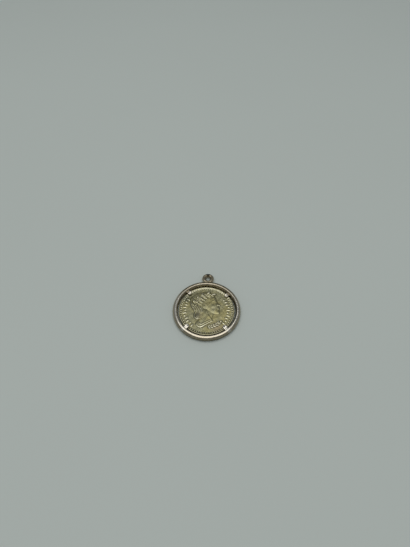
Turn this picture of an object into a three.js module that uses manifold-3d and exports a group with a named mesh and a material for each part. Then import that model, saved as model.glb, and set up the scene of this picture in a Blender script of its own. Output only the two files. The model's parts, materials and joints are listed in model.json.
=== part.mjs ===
// A coin pendant: a struck coin held by claws in a round-backed frame with a soldered hanging ring.
// Millimetres, +Z up. The pendant lies on its back on z = 0, and the hanging ring points along +Y.
import * as THREE from "three";
import { mergeVertices } from "three/addons/utils/BufferGeometryUtils.js";
import Module from "manifold-3d";

// The coin: its blank and border.
const COIN_DIAMETER = 21.8;
const COIN_THICKNESS = 1; // over both rims
const RIM_WIDTH = 0.65;
const RIM_HEIGHT = 0.2; // rim top above the field
const EDGE_BREAK = 0.12; // small chamfer of the coin's outer edge
const BEAD_COUNT = 72;
const BEAD_DIAMETER = 0.5;
const BEAD_HEIGHT = 0.14;
const BEAD_TO_RIM = 0.08; // field left between the beads and the rim's foot

// The coin: its figures. The head's tables below are shares of HEAD_HEIGHT.
const HEAD_HEIGHT = 10.4; // chin to crown
const HEAD_TILT = 13; // degrees that the head leans back
const EAR_X = -0.2; // where the ear hole stands beside the coin's axis
const EAR_Y = 1.9; // and above it
const EAR_SHARE = 0.44; // height of the ear hole above the chin, a share of the head's height
const NECK_RELIEF = 0.14;
const FACE_RELIEF = 0.22;
const HAIR_RELIEF = 0.18;
const LOCK_RELIEF = 0.33;
const LEAF_RELIEF = 0.38;
const STEM_SLIMNESS = 0.12; // width of a twig's stem, a share of a leaf's length
const LEAF_SLIMNESS = 0.36; // width of a leaf, a share of its length
const LEAF_BACKSET = 0.1; // how far a leaf's root lies behind its place on the stem, a share of its length
const LEAF_CURL = 0.05; // how far its belly leans towards the stem's course, a share of its length
const RELIEF_BEVEL = 0.1;
const RIDGE_END = 0.12; // size of a ridge's ends, a share of its middle
const RAY_LENGTH = 1.8; // strokes of the ray border
const RAY_WIDTH = 0.5;
const RAY_RELIEF = 0.16;
const RAY_TO_BEADS = 0.2;
const RAY_PITCH = 1.25; // spacing of the strokes along their arc
const TWIG_END = 0.5; // bare stem past a twig's last pair of leaves, a share of their pitch
const SPRIG_RADIUS = 7.35; // of the twig below the chin
const SPRIG_LEAF = 1.5;
const WREATH_RADIUS = 7.6; // of the reverse's wreath
const WREATH_LEAF = 2.3;
const WREATH_PITCH = 1.75;
const REVERSE_RELIEF = 0.15;

// The frame and its claws.
const FRAME_GAP = 0.35; // open ring between the coin's edge and the frame
const FRAME_BAND = 1.92; // radial width of the band
const FRAME_HEIGHT = 2.3;
const SHOULDER_WIDTH = 0.7; // of the round shoulder between the inner wall and the crest
const SHOULDER_HEIGHT = 1.3;
const FRAME_CREST = 0.12; // flat along the top of the band
const FRAME_BREAK = 0.12; // chamfer under the band's inner wall
const CLAW_ANGLES = [42, 133.5, 226.5, 314]; // degrees from +X, set by hand and so a little uneven
const CLAW_WIDTH = 1.6;
const CLAW_THICKNESS = 0.5;
const CLAW_ARCH = 0.25; // rise of a claw's middle over its ends
const CLAW_GRIP = 1.5; // reach over the coin's face
const CLAW_ROOT = 0.7; // length sunk in the band
const TAB_THICKNESS = 0.15; // the tabs that hold the coin's back
const COIN_CLEARANCE = 0.05; // between the coin and what grips it

// The hanging ring.
const RING_WIRE = 1.5;
const RING_HOLE = 1.85;
const RING_SINK = 0.73; // how far the ring's wire is let into the band

// Smoothness of the round pieces.
const TURNS = 96; // facets round the coin and the frame
const BAND_FACETS = 8; // over the band's round back
const SHOULDER_FACETS = 5;
const WIRE_FACETS = 12;
const RING_FACETS = 24;
const PLATE_STEPS = 3; // pieces of outline between two points of a face or neck table
const HAIR_STEPS = 2; // and between two of the hair's
const LOCK_STEPS = 6; // sections along a lock of hair
const FEATURE_STEPS = 4; // along a feature of the face, a fold or a leaf
const RAY_STEPS = 3;
const STEM_STEPS = 8;
const STEM_POINTS = 4; // spans between the points that a twig's stem goes through
const CLAW_CURVE = 5; // facets along a claw's arch
const TIP_CURVE = 10; // and round its tip
const WELD = 1e-4; // corners closer than this are one

const wasm = await Module();
wasm.setup();

const coinRadius = COIN_DIAMETER / 2;
const frameInner = coinRadius + FRAME_GAP;
const frameOuter = frameInner + FRAME_BAND;
const coinBase = TAB_THICKNESS + COIN_CLEARANCE;
const coinTop = coinBase + COIN_THICKNESS;
const fieldTop = coinTop - RIM_HEIGHT;
const fieldBack = coinBase + RIM_HEIGHT;
const clawBase = coinTop + COIN_CLEARANCE;
const clawTop = clawBase + CLAW_THICKNESS;
const beadCircle = coinRadius - RIM_WIDTH - BEAD_TO_RIM - BEAD_DIAMETER / 2;
const rayOuter = beadCircle - BEAD_DIAMETER / 2 - RAY_TO_BEADS;
const ringRadius = (RING_HOLE + RING_WIRE) / 2; // to the middle of the wire
const ringCentre = frameOuter - RING_SINK + RING_WIRE / 2 + ringRadius;
const pendantTop = ringCentre + ringRadius + RING_WIRE / 2;

// The face from the hairline to the chin and back along the jaw, and its edge below the hair:
// shares of the head's height, x forward from the ear hole and y up from the chin.
const FACE = [
  { x: 0.3, y: 0.9 },
  { x: 0.39, y: 0.79 },
  { x: 0.428, y: 0.69 },
  { x: 0.437, y: 0.6 },
  { x: 0.438, y: 0.545 },
  { x: 0.476, y: 0.46 },
  { x: 0.53, y: 0.378 },
  { x: 0.512, y: 0.348 },
  { x: 0.462, y: 0.335 },
  { x: 0.464, y: 0.305 },
  { x: 0.484, y: 0.278 },
  { x: 0.46, y: 0.25 },
  { x: 0.474, y: 0.222 },
  { x: 0.442, y: 0.178 },
  { x: 0.452, y: 0.105 },
  { x: 0.425, y: 0.03 },
  { x: 0.37, y: 0 },
  { x: 0.25, y: 0.035 },
  { x: 0.12, y: 0.11 },
  { x: 0.04, y: 0.2 },
  { x: -0.02, y: 0.3 },
];
const FACE_BACK = [
  { x: -0.02, y: 0.3 },
  { x: -0.15, y: 0.4 },
  { x: -0.15, y: 0.65 },
  { x: 0.08, y: 0.85 },
  { x: 0.3, y: 0.9 },
];

// The neck's front, its slanting cut and its back.
const NECK_FRONT = [
  { x: 0.24, y: 0.24 },
  { x: 0.21, y: 0.06 },
  { x: 0.16, y: -0.05 },
  { x: 0.11, y: -0.14 },
  { x: 0.11, y: -0.2 },
  { x: 0.15, y: -0.26 },
];
const NECK_CUT = [
  { x: 0.15, y: -0.26 },
  { x: -0.1, y: -0.33 },
  { x: -0.36, y: -0.45 },
];
const NECK_BACK = [
  { x: -0.36, y: -0.45 },
  { x: -0.48, y: -0.37 },
  { x: -0.55, y: -0.24 },
  { x: -0.43, y: -0.12 },
  { x: -0.32, y: 0.08 },
  { x: -0.16, y: 0.34 },
];

// Folds of cloth round the neck's foot, each a ridge through its points.
const FOLD_WIDTH = 0.055;
const FOLDS = [
  [{ x: -0.53, y: -0.24 }, { x: -0.4, y: -0.39 }, { x: -0.17, y: -0.33 }, { x: 0.13, y: -0.22 }],
  [{ x: -0.46, y: -0.15 }, { x: -0.34, y: -0.29 }, { x: -0.14, y: -0.24 }, { x: 0.11, y: -0.15 }],
];

// The mass of hair, from the forehead over the crown to the knot at the nape and back over the ear.
const HAIR = [
  { x: 0.405, y: 0.79 },
  { x: 0.36, y: 0.9 },
  { x: 0.24, y: 1 },
  { x: 0.06, y: 1.06 },
  { x: -0.16, y: 1.07 },
  { x: -0.38, y: 1 },
  { x: -0.54, y: 0.84 },
  { x: -0.57, y: 0.62 },
  { x: -0.5, y: 0.42 },
  { x: -0.5, y: 0.26 },
  { x: -0.53, y: 0.1 },
  { x: -0.47, y: -0.05 },
  { x: -0.34, y: -0.09 },
  { x: -0.22, y: -0.01 },
  { x: -0.18, y: 0.14 },
  { x: -0.12, y: 0.28 },
  { x: -0.09, y: 0.46 },
  { x: 0.02, y: 0.54 },
  { x: 0.12, y: 0.56 },
  { x: 0.2, y: 0.64 },
  { x: 0.3, y: 0.74 },
];

// Locks of hair run between a first and a last one of like course, `count` of them side by side:
// from the crown forward to the temple, down the back of the head, and round the knot at the nape.
const LOCKS = [
  {
    count: 6,
    width: 0.105,
    first: [{ x: -0.46, y: 0.88 }, { x: -0.38, y: 0.74 }, { x: -0.27, y: 0.6 }, { x: -0.13, y: 0.46 }],
    last: [{ x: 0.14, y: 1.02 }, { x: 0.22, y: 0.94 }, { x: 0.3, y: 0.85 }, { x: 0.37, y: 0.79 }],
  },
  {
    count: 4,
    width: 0.085,
    first: [{ x: -0.5, y: 0.82 }, { x: -0.54, y: 0.62 }, { x: -0.48, y: 0.42 }, { x: -0.46, y: 0.27 }],
    last: [{ x: -0.34, y: 0.64 }, { x: -0.3, y: 0.5 }, { x: -0.23, y: 0.36 }, { x: -0.19, y: 0.14 }],
  },
  {
    count: 3,
    width: 0.075,
    first: [{ x: -0.44, y: 0.3 }, { x: -0.51, y: 0.1 }, { x: -0.43, y: -0.04 }, { x: -0.26, y: -0.01 }],
    last: [{ x: -0.28, y: 0.18 }, { x: -0.36, y: 0.14 }, { x: -0.38, y: 0.06 }, { x: -0.32, y: 0.04 }],
  },
];

// The wreath's stem over the hair, from its tie at the back to the forehead.
const CROWN_STEM = [
  { x: -0.46, y: 0.5 },
  { x: -0.37, y: 0.7 },
  { x: -0.17, y: 0.85 },
  { x: 0.08, y: 0.93 },
  { x: 0.32, y: 0.9 },
];
const CROWN_STEM_WIDTH = 0.03; // a share of the head's height, as the leaf's length is
const CROWN_PAIRS = 5;
const CROWN_LEAF = 0.22;
const CROWN_SPREAD = 36; // degrees between a leaf and the stem

// Small raised features of the face, each a ridge through its points.
const FEATURES = [
  { name: "brow", width: 0.035, path: [{ x: 0.27, y: 0.575 }, { x: 0.34, y: 0.6 }, { x: 0.42, y: 0.585 }] },
  { name: "eyelid", width: 0.03, path: [{ x: 0.29, y: 0.495 }, { x: 0.34, y: 0.53 }, { x: 0.395, y: 0.505 }] },
  { name: "lower lid", width: 0.022, path: [{ x: 0.3, y: 0.48 }, { x: 0.345, y: 0.468 }, { x: 0.385, y: 0.49 }] },
  { name: "nose wing", width: 0.05, path: [{ x: 0.42, y: 0.345 }, { x: 0.43, y: 0.375 }, { x: 0.465, y: 0.38 }] },
  { name: "upper lip", width: 0.03, path: [{ x: 0.4, y: 0.25 }, { x: 0.435, y: 0.266 }, { x: 0.47, y: 0.27 }] },
  { name: "lower lip", width: 0.03, path: [{ x: 0.405, y: 0.24 }, { x: 0.435, y: 0.222 }, { x: 0.462, y: 0.226 }] },
  {
    name: "ear",
    width: 0.04,
    path: [{ x: 0.01, y: 0.5 }, { x: -0.05, y: 0.54 }, { x: -0.09, y: 0.48 }, { x: -0.05, y: 0.38 }, { x: -0.01, y: 0.33 }],
  },
];

// The two arcs of rays beside the head, and the twig below the chin: degrees, anticlockwise from +X.
const RAY_ARCS = [
  { from: -40, to: 36 },
  { from: 148, to: 232 },
];
const SPRIG_ARC = { from: -84, to: -44 };
const SPRIG_PAIRS = 5;
const SPRIG_SPREAD = 32;
const REVERSE_BRANCHES = [
  { root: -82, tip: 68 },
  { root: -98, tip: -248 },
];
const REVERSE_SPREAD = 26;

const radians = THREE.MathUtils.degToRad;

/** A closed geometry as a solid that can be joined and cut. */
function solid(geometry) {
  const bare = geometry.clone();
  bare.deleteAttribute("normal");
  bare.deleteAttribute("uv");
  const merged = mergeVertices(bare, WELD);
  return new wasm.Manifold(
    new wasm.Mesh({
      numProp: 3,
      vertProperties: merged.attributes.position.array,
      triVerts: new Uint32Array(merged.index.array),
    }),
  );
}

/** A solid as a flat-shaded geometry. */
function geometryOf(made) {
  const mesh = made.getMesh();
  const geometry = new THREE.BufferGeometry();
  geometry.setAttribute("position", new THREE.BufferAttribute(mesh.vertProperties, 3));
  geometry.setIndex(new THREE.BufferAttribute(mesh.triVerts, 1));
  const flat = geometry.toNonIndexed();
  flat.computeVertexNormals();
  return flat;
}

/** Joins a list of solids. */
function fuse(solids) {
  return wasm.Manifold.union(solids);
}

/** A solid of revolution about +Z from [radius, z] pairs that run anticlockwise. */
function turned(profile) {
  const points = profile.map(([radius, z]) => new THREE.Vector2(radius, z));
  const geometry = new THREE.LatheGeometry(points, TURNS);
  geometry.rotateX(Math.PI / 2);
  return solid(geometry);
}

/** A point of the head's tables on the coin's face: the head leans back about its ear hole. */
function onCoin({ x, y }) {
  const point = new THREE.Vector2(x * HEAD_HEIGHT, (y - EAR_SHARE) * HEAD_HEIGHT);
  return point.rotateAround(new THREE.Vector2(), radians(HEAD_TILT)).add(new THREE.Vector2(EAR_X, EAR_Y));
}

/** A point at a radius and an angle in degrees. */
function onCircle(radius, degrees) {
  return new THREE.Vector2(radius * Math.cos(radians(degrees)), radius * Math.sin(radians(degrees)));
}

/** A bevelled plate inside the smooth stretches given, standing on the field. */
function plate(stretches, height, steps) {
  const outline = stretches.flatMap((stretch) => {
    const curve = new THREE.SplineCurve(stretch.map(onCoin));
    return curve.getPoints(steps * (stretch.length - 1)).slice(1);
  });
  const geometry = new THREE.ExtrudeGeometry(new THREE.Shape(outline), {
    depth: RIM_HEIGHT + height - RELIEF_BEVEL,
    bevelThickness: RELIEF_BEVEL,
    bevelSize: RELIEF_BEVEL,
    bevelOffset: -RELIEF_BEVEL,
    bevelSegments: 1,
    curveSegments: 1,
  });
  geometry.translate(0, 0, fieldTop - RIM_HEIGHT);
  return solid(geometry);
}

/** A roof-shaped ridge along a curve, rooted below `base`, full at its middle and thin at its ends. */
function ridge(points, width, height, base, steps) {
  const curve = new THREE.SplineCurve(points);
  const foot = base - RIM_HEIGHT / 2;
  const vertices = [];
  const faces = [];
  for (let i = 0; i <= steps; i++) {
    const share = i / steps;
    const at = curve.getPoint(share);
    const along = curve.getTangent(share);
    const size = Math.max(RIDGE_END, Math.sqrt(Math.sin(Math.PI * share)));
    const half = (width / 2) * size;
    vertices.push([at.x - along.y * half, at.y + along.x * half, foot]);
    vertices.push([at.x + along.y * half, at.y - along.x * half, foot]);
    vertices.push([at.x, at.y, base + height * size]);
  }
  for (let i = 0; i < steps; i++) {
    for (let j = 0; j < 3; j++) {
      const a = 3 * i + j;
      const b = 3 * i + ((j + 1) % 3);
      faces.push([a, a + 3, b + 3], [a, b + 3, b]);
    }
  }
  const last = 3 * steps;
  faces.push([0, 1, 2], [last, last + 2, last + 1]);
  const geometry = new THREE.BufferGeometry();
  geometry.setAttribute("position", new THREE.Float32BufferAttribute(vertices.flat(), 3));
  geometry.setIndex(faces.flat());
  return solid(geometry);
}

/** A pair of leaves that leave a stem at `at`, `spread` degrees to either side of its course. */
function leafPair(at, along, length, spread, height, base) {
  return [-1, 1].map((side) => {
    const course = along.clone().rotateAround(new THREE.Vector2(), radians(side * spread));
    const root = at.clone().addScaledVector(along, -length * LEAF_BACKSET);
    const belly = root.clone().addScaledVector(course, length / 2).addScaledVector(along, length * LEAF_CURL);
    const tip = root.clone().addScaledVector(course, length);
    return ridge([root, belly, tip], length * LEAF_SLIMNESS, height, base, FEATURE_STEPS);
  });
}

/** The ring of beads inside a rim, on a field at height z. */
function beads(z) {
  return Array.from({ length: BEAD_COUNT }, (_, i) => {
    const at = onCircle(beadCircle, (360 * i) / BEAD_COUNT);
    const bead = new THREE.IcosahedronGeometry(1, 0);
    bead.scale(BEAD_DIAMETER / 2, BEAD_DIAMETER / 2, BEAD_HEIGHT);
    bead.rotateZ(radians((360 * i) / BEAD_COUNT));
    bead.translate(at.x, at.y, z);
    return solid(bead);
  });
}

/** The blank with both rims. */
function coinBlank() {
  const rimInner = coinRadius - RIM_WIDTH;
  const rimFoot = rimInner - RIM_HEIGHT / 2;
  return turned([
    [0, fieldBack],
    [rimFoot, fieldBack],
    [rimInner, coinBase],
    [coinRadius - EDGE_BREAK, coinBase],
    [coinRadius, coinBase + EDGE_BREAK],
    [coinRadius, coinTop - EDGE_BREAK],
    [coinRadius - EDGE_BREAK, coinTop],
    [rimInner, coinTop],
    [rimFoot, fieldTop],
    [0, fieldTop],
  ]);
}

/** The neck, face and hair as stepped plates, with folds, locks and features raised on them. */
function headRelief() {
  const pieces = [
    plate([NECK_FRONT, NECK_CUT, NECK_BACK], NECK_RELIEF, PLATE_STEPS),
    plate([FACE, FACE_BACK], FACE_RELIEF, PLATE_STEPS),
    plate([[...HAIR, HAIR[0]]], HAIR_RELIEF, HAIR_STEPS),
  ];
  for (const path of FOLDS) {
    pieces.push(ridge(path.map(onCoin), FOLD_WIDTH * HEAD_HEIGHT, FACE_RELIEF, fieldTop, FEATURE_STEPS));
  }
  for (const { count, width, first, last } of LOCKS) {
    for (let i = 0; i < count; i++) {
      const share = i / (count - 1);
      const course = first.map((p, j) => onCoin(p).lerp(onCoin(last[j]), share));
      pieces.push(ridge(course, width * HEAD_HEIGHT, LOCK_RELIEF, fieldTop, LOCK_STEPS));
    }
  }
  for (const { width, path } of FEATURES) {
    pieces.push(ridge(path.map(onCoin), width * HEAD_HEIGHT, LOCK_RELIEF, fieldTop, FEATURE_STEPS));
  }
  const stem = new THREE.SplineCurve(CROWN_STEM.map(onCoin));
  pieces.push(ridge(CROWN_STEM.map(onCoin), CROWN_STEM_WIDTH * HEAD_HEIGHT, LEAF_RELIEF, fieldTop, STEM_STEPS));
  for (let i = 0; i < CROWN_PAIRS; i++) {
    const share = i / CROWN_PAIRS;
    const length = CROWN_LEAF * HEAD_HEIGHT;
    pieces.push(
      ...leafPair(stem.getPoint(share), stem.getTangent(share), length, CROWN_SPREAD, LEAF_RELIEF, fieldTop),
    );
  }
  return pieces;
}

/** The strokes of the ray border in one arc. */
function rays({ from, to }) {
  const middle = rayOuter - RAY_LENGTH / 2;
  const count = Math.round((radians(to - from) * middle) / RAY_PITCH) + 1;
  return Array.from({ length: count }, (_, i) => {
    const angle = from + ((to - from) * i) / (count - 1);
    const ends = [rayOuter, rayOuter - RAY_LENGTH].map((radius) => onCircle(radius, angle));
    return ridge(ends, RAY_WIDTH, RAY_RELIEF, fieldTop, RAY_STEPS);
  });
}

/** A twig that follows a circle between two angles, with pairs of leaves. */
function twig(radius, from, to, pairs, leaf, spread, relief, z) {
  const turn = Math.sign(to - from);
  const angleAt = (share) => from + (to - from) * share;
  const course = Array.from({ length: STEM_POINTS + 1 }, (_, i) => onCircle(radius, angleAt(i / STEM_POINTS)));
  const pieces = [ridge(course, leaf * STEM_SLIMNESS, relief, z, STEM_STEPS)];
  for (let i = 1; i <= pairs; i++) {
    const angle = angleAt(i / (pairs + TWIG_END));
    const along = onCircle(turn, angle + 90);
    pieces.push(...leafPair(onCircle(radius, angle), along, leaf, spread, relief, z));
  }
  return pieces;
}

/** The coin's back: an open wreath of two branches, made face up and turned over. */
function reverseRelief() {
  const top = coinBase + coinTop - fieldBack; // the back field once the coin is turned over
  const pieces = [...beads(top)];
  for (const { root, tip } of REVERSE_BRANCHES) {
    const pairs = Math.round((radians(Math.abs(tip - root)) * WREATH_RADIUS) / WREATH_PITCH) - 1;
    pieces.push(...twig(WREATH_RADIUS, root, tip, pairs, WREATH_LEAF, REVERSE_SPREAD, REVERSE_RELIEF, top));
  }
  return fuse(pieces).rotate([0, 180, 0]).translate([0, 0, coinBase + coinTop]);
}

/** The whole coin. */
function coin() {
  return fuse([
    coinBlank(),
    ...beads(fieldTop),
    ...headRelief(),
    ...RAY_ARCS.flatMap(rays),
    ...twig(
      SPRIG_RADIUS, SPRIG_ARC.from, SPRIG_ARC.to, SPRIG_PAIRS, SPRIG_LEAF, SPRIG_SPREAD, RAY_RELIEF, fieldTop,
    ),
    reverseRelief(),
  ]);
}

/** Points of an ellipse's arc round [r, z], from one angle to another in degrees, without its ends. */
function arc([r, z], width, height, from, to, facets) {
  return Array.from({ length: facets - 1 }, (_, i) => {
    const angle = radians(from + ((to - from) * (i + 1)) / facets);
    return [r + width * Math.cos(angle), z + height * Math.sin(angle)];
  });
}

/** The band: a straight inner wall with a round shoulder, a narrow crest and a round back. */
function band() {
  const crestInner = frameInner + SHOULDER_WIDTH;
  const crestOuter = crestInner + FRAME_CREST;
  const shoulderBase = FRAME_HEIGHT - SHOULDER_HEIGHT;
  const middle = FRAME_HEIGHT / 2;
  const profile = [
    [frameInner, FRAME_BREAK],
    [frameInner + FRAME_BREAK, 0],
    [crestOuter, 0],
    ...arc([crestOuter, middle], frameOuter - crestOuter, middle, -90, 90, BAND_FACETS),
    [crestOuter, FRAME_HEIGHT],
    [crestInner, FRAME_HEIGHT],
    ...arc([crestInner, shoulderBase], SHOULDER_WIDTH, SHOULDER_HEIGHT, 90, 180, SHOULDER_FACETS),
    [frameInner, shoulderBase],
  ];
  return turned([...profile, profile[0]]);
}

/** An outline in the plane of radius and height as a plate of a claw's width. */
function sideways(outline) {
  const settings = { depth: CLAW_WIDTH, bevelEnabled: false, curveSegments: CLAW_CURVE };
  const geometry = new THREE.ExtrudeGeometry(outline, settings);
  geometry.translate(0, 0, -CLAW_WIDTH / 2);
  geometry.rotateX(Math.PI / 2);
  return solid(geometry);
}

/** Rounds the tip of a plate that reaches inwards to `tip`, and turns it to its place. */
function roundTipped(made, tip, degrees) {
  const half = CLAW_WIDTH / 2;
  const plan = new THREE.Shape();
  plan.moveTo(frameOuter, -half);
  plan.lineTo(frameOuter, half);
  plan.lineTo(tip + half, half);
  plan.absarc(tip + half, 0, half, Math.PI / 2, (3 * Math.PI) / 2, false);
  const settings = { depth: FRAME_HEIGHT, bevelEnabled: false, curveSegments: TIP_CURVE };
  const geometry = new THREE.ExtrudeGeometry(plan, settings);
  return made.intersect(solid(geometry)).rotate([0, 0, degrees]);
}

/** A claw: a thick strip that arches out of the inner wall, under the crest, on to the coin's rim. */
function claw(degrees) {
  const root = frameInner + CLAW_ROOT;
  const tip = coinRadius - CLAW_GRIP;
  const middle = (frameInner + tip) / 2;
  const pull = 2 * CLAW_ARCH; // a quadratic curve rises half as high as its control point
  const outline = new THREE.Shape();
  outline.moveTo(root, clawTop);
  outline.lineTo(frameInner, clawTop);
  outline.quadraticCurveTo(middle, clawTop + pull, tip, clawTop);
  outline.lineTo(tip, clawBase);
  outline.quadraticCurveTo(middle, clawBase + pull, frameInner, clawBase);
  outline.lineTo(root, clawBase);
  return roundTipped(sideways(outline), tip, degrees);
}

/** A thin flat tab behind the coin, under a claw. */
function tab(degrees) {
  const tip = coinRadius - CLAW_GRIP;
  const outline = new THREE.Shape();
  outline.moveTo(frameInner + CLAW_ROOT, 0);
  outline.lineTo(frameInner + CLAW_ROOT, TAB_THICKNESS);
  outline.lineTo(tip, TAB_THICKNESS);
  outline.lineTo(tip, 0);
  return roundTipped(sideways(outline), tip, degrees);
}

/** The ring that a chain's link goes through, let into the band. */
function hangingRing() {
  const geometry = new THREE.TorusGeometry(ringRadius, RING_WIRE / 2, WIRE_FACETS, RING_FACETS);
  geometry.translate(0, ringCentre, FRAME_HEIGHT / 2);
  return solid(geometry);
}

/** The frame: band, claws, back tabs and hanging ring, soldered into one. */
function frame() {
  return fuse([
    band(),
    ...CLAW_ANGLES.map(claw),
    ...CLAW_ANGLES.map(tab),
    hangingRing(),
  ]);
}

const coinMetal = new THREE.MeshStandardMaterial({ color: 0xb3ac7c, roughness: 0.38, metalness: 1 });
const frameMetal = new THREE.MeshStandardMaterial({ color: 0xd6d0c4, roughness: 0.25, metalness: 1 });

const pendant = new THREE.Group();
for (const [name, made, material] of [
  ["coin", coin(), coinMetal],
  ["frame", frame(), frameMetal],
]) {
  const mesh = new THREE.Mesh(geometryOf(made), material);
  mesh.name = name;
  pendant.add(mesh);
}
// The origin is the middle of the whole pendant, hanging ring included, on the surface it lies on.
pendant.position.y = (frameOuter - pendantTop) / 2;

export default pendant;
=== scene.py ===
"""A coin pendant: a worn struck coin held by claws in a brownish silver frame, on a pale floor."""

import json
import math

import bpy
import numpy as np
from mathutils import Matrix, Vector

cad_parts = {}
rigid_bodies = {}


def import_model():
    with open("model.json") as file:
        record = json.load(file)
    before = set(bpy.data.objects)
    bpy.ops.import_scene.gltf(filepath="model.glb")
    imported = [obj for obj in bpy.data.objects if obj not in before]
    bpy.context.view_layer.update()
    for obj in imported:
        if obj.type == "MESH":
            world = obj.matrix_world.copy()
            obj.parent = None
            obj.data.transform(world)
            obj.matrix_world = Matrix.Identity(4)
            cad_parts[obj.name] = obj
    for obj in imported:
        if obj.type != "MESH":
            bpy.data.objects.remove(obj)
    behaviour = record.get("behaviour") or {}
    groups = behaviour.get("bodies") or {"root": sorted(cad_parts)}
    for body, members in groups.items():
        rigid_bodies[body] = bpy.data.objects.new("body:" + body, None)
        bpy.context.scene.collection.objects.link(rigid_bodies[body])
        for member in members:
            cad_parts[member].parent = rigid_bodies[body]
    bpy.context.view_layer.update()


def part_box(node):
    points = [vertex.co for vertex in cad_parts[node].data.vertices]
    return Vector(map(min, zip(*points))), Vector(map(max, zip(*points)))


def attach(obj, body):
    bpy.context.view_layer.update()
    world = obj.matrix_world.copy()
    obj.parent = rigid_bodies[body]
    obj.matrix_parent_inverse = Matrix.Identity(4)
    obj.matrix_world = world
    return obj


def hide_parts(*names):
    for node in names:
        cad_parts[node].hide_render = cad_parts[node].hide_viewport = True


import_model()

bl_info = {
    "name": "Coin pendant",
    "version": (1, 0, 0),
    "blender": (4, 5, 0),
    "location": "View3D > Sidebar > Pendant",
    "description": "Makes the coin, the silver frame and the stage of a coin pendant",
    "category": "Object",
}

MM = 0.001
COIN_LOW, COIN_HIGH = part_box("coin")
FRAME_LOW, FRAME_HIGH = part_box("frame")
COIN_CENTRE_Y = (COIN_LOW.y + COIN_HIGH.y) / 2

# The head on the coin. Tables hold x, forward from the ear hole, and y, up from the chin,
# as shares of the head's height.
FACE = [
    (0.3, 0.9),
    (0.39, 0.79),
    (0.428, 0.69),
    (0.437, 0.6),
    (0.438, 0.545),
    (0.476, 0.46),
    (0.53, 0.378),
    (0.512, 0.348),
    (0.462, 0.335),
    (0.464, 0.305),
    (0.484, 0.278),
    (0.46, 0.25),
    (0.474, 0.222),
    (0.442, 0.178),
    (0.452, 0.105),
    (0.425, 0.03),
    (0.37, 0),
    (0.25, 0.035),
    (0.12, 0.11),
    (0.04, 0.2),
    (-0.02, 0.3),
]
FACE_BACK = [(-0.02, 0.3), (-0.15, 0.4), (-0.15, 0.65), (0.08, 0.85), (0.3, 0.9)]
NECK_FRONT = [(0.24, 0.24), (0.21, 0.06), (0.16, -0.05), (0.11, -0.14), (0.11, -0.2), (0.15, -0.26)]
NECK_CUT = [(0.15, -0.26), (-0.1, -0.33), (-0.36, -0.45)]
NECK_BACK = [(-0.36, -0.45), (-0.48, -0.37), (-0.55, -0.24), (-0.43, -0.12), (-0.32, 0.08), (-0.16, 0.34)]
# Folds of cloth round the neck's foot.
FOLD_WIDTH = 0.0715
FOLDS = [
    [(-0.53, -0.24), (-0.4, -0.39), (-0.17, -0.33), (0.13, -0.22)],
    [(-0.46, -0.15), (-0.34, -0.29), (-0.14, -0.24), (0.11, -0.15)],
]
HAIR = [
    (0.405, 0.79),
    (0.36, 0.9),
    (0.24, 1),
    (0.06, 1.06),
    (-0.16, 1.07),
    (-0.38, 1),
    (-0.54, 0.84),
    (-0.57, 0.62),
    (-0.5, 0.42),
    (-0.5, 0.26),
    (-0.53, 0.1),
    (-0.47, -0.05),
    (-0.34, -0.09),
    (-0.22, -0.01),
    (-0.18, 0.14),
    (-0.12, 0.28),
    (-0.09, 0.46),
    (0.02, 0.54),
    (0.12, 0.56),
    (0.2, 0.64),
    (0.3, 0.74),
]
# Locks run between a first and a last one.
LOCKS = [
    {
        "count": 6,
        "width": 0.105,
        "first": [(-0.46, 0.88), (-0.38, 0.74), (-0.27, 0.6), (-0.13, 0.46)],
        "last": [(0.14, 1.02), (0.22, 0.94), (0.3, 0.85), (0.37, 0.79)],
    },
    {
        "count": 4,
        "width": 0.085,
        "first": [(-0.5, 0.82), (-0.54, 0.62), (-0.48, 0.42), (-0.46, 0.27)],
        "last": [(-0.34, 0.64), (-0.3, 0.5), (-0.23, 0.36), (-0.19, 0.14)],
    },
    {
        "count": 3,
        "width": 0.075,
        "first": [(-0.44, 0.3), (-0.51, 0.1), (-0.43, -0.04), (-0.26, -0.01)],
        "last": [(-0.28, 0.18), (-0.36, 0.14), (-0.38, 0.06), (-0.32, 0.04)],
    },
]
# The crown: its stem, pairs of leaves, a leaf's length, its spread in degrees and the stem's width.
CROWN_STEM = [(-0.46, 0.5), (-0.37, 0.7), (-0.17, 0.85), (0.08, 0.93), (0.32, 0.9)]
CROWN_PAIRS = 5
CROWN_LEAF = 0.22
CROWN_SPREAD = 36
CROWN_STEM_WIDTH = 0.035
THROAT = [(-0.06, 0.26), (0, 0), (0.1, -0.24)]
# Rises as shares of the head's relief, widths and rounded edges as shares of its height.
NECK_RISE = 0.42
NECK_EDGE = 0.16
THROAT_RISE = 0.16
THROAT_WIDTH = 0.09
FOLD_RISE = 0.34
FACE_RISE = 0.7
FACE_EDGE = 0.15
FLESH_RISE = 0.5
HAIR_RISE = 0.4
HAIR_EDGE = 0.08
LOCK_RISE = 0.95
LOCK_STRANDS = 2
STRAND_DEPTH = 0.14
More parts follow.
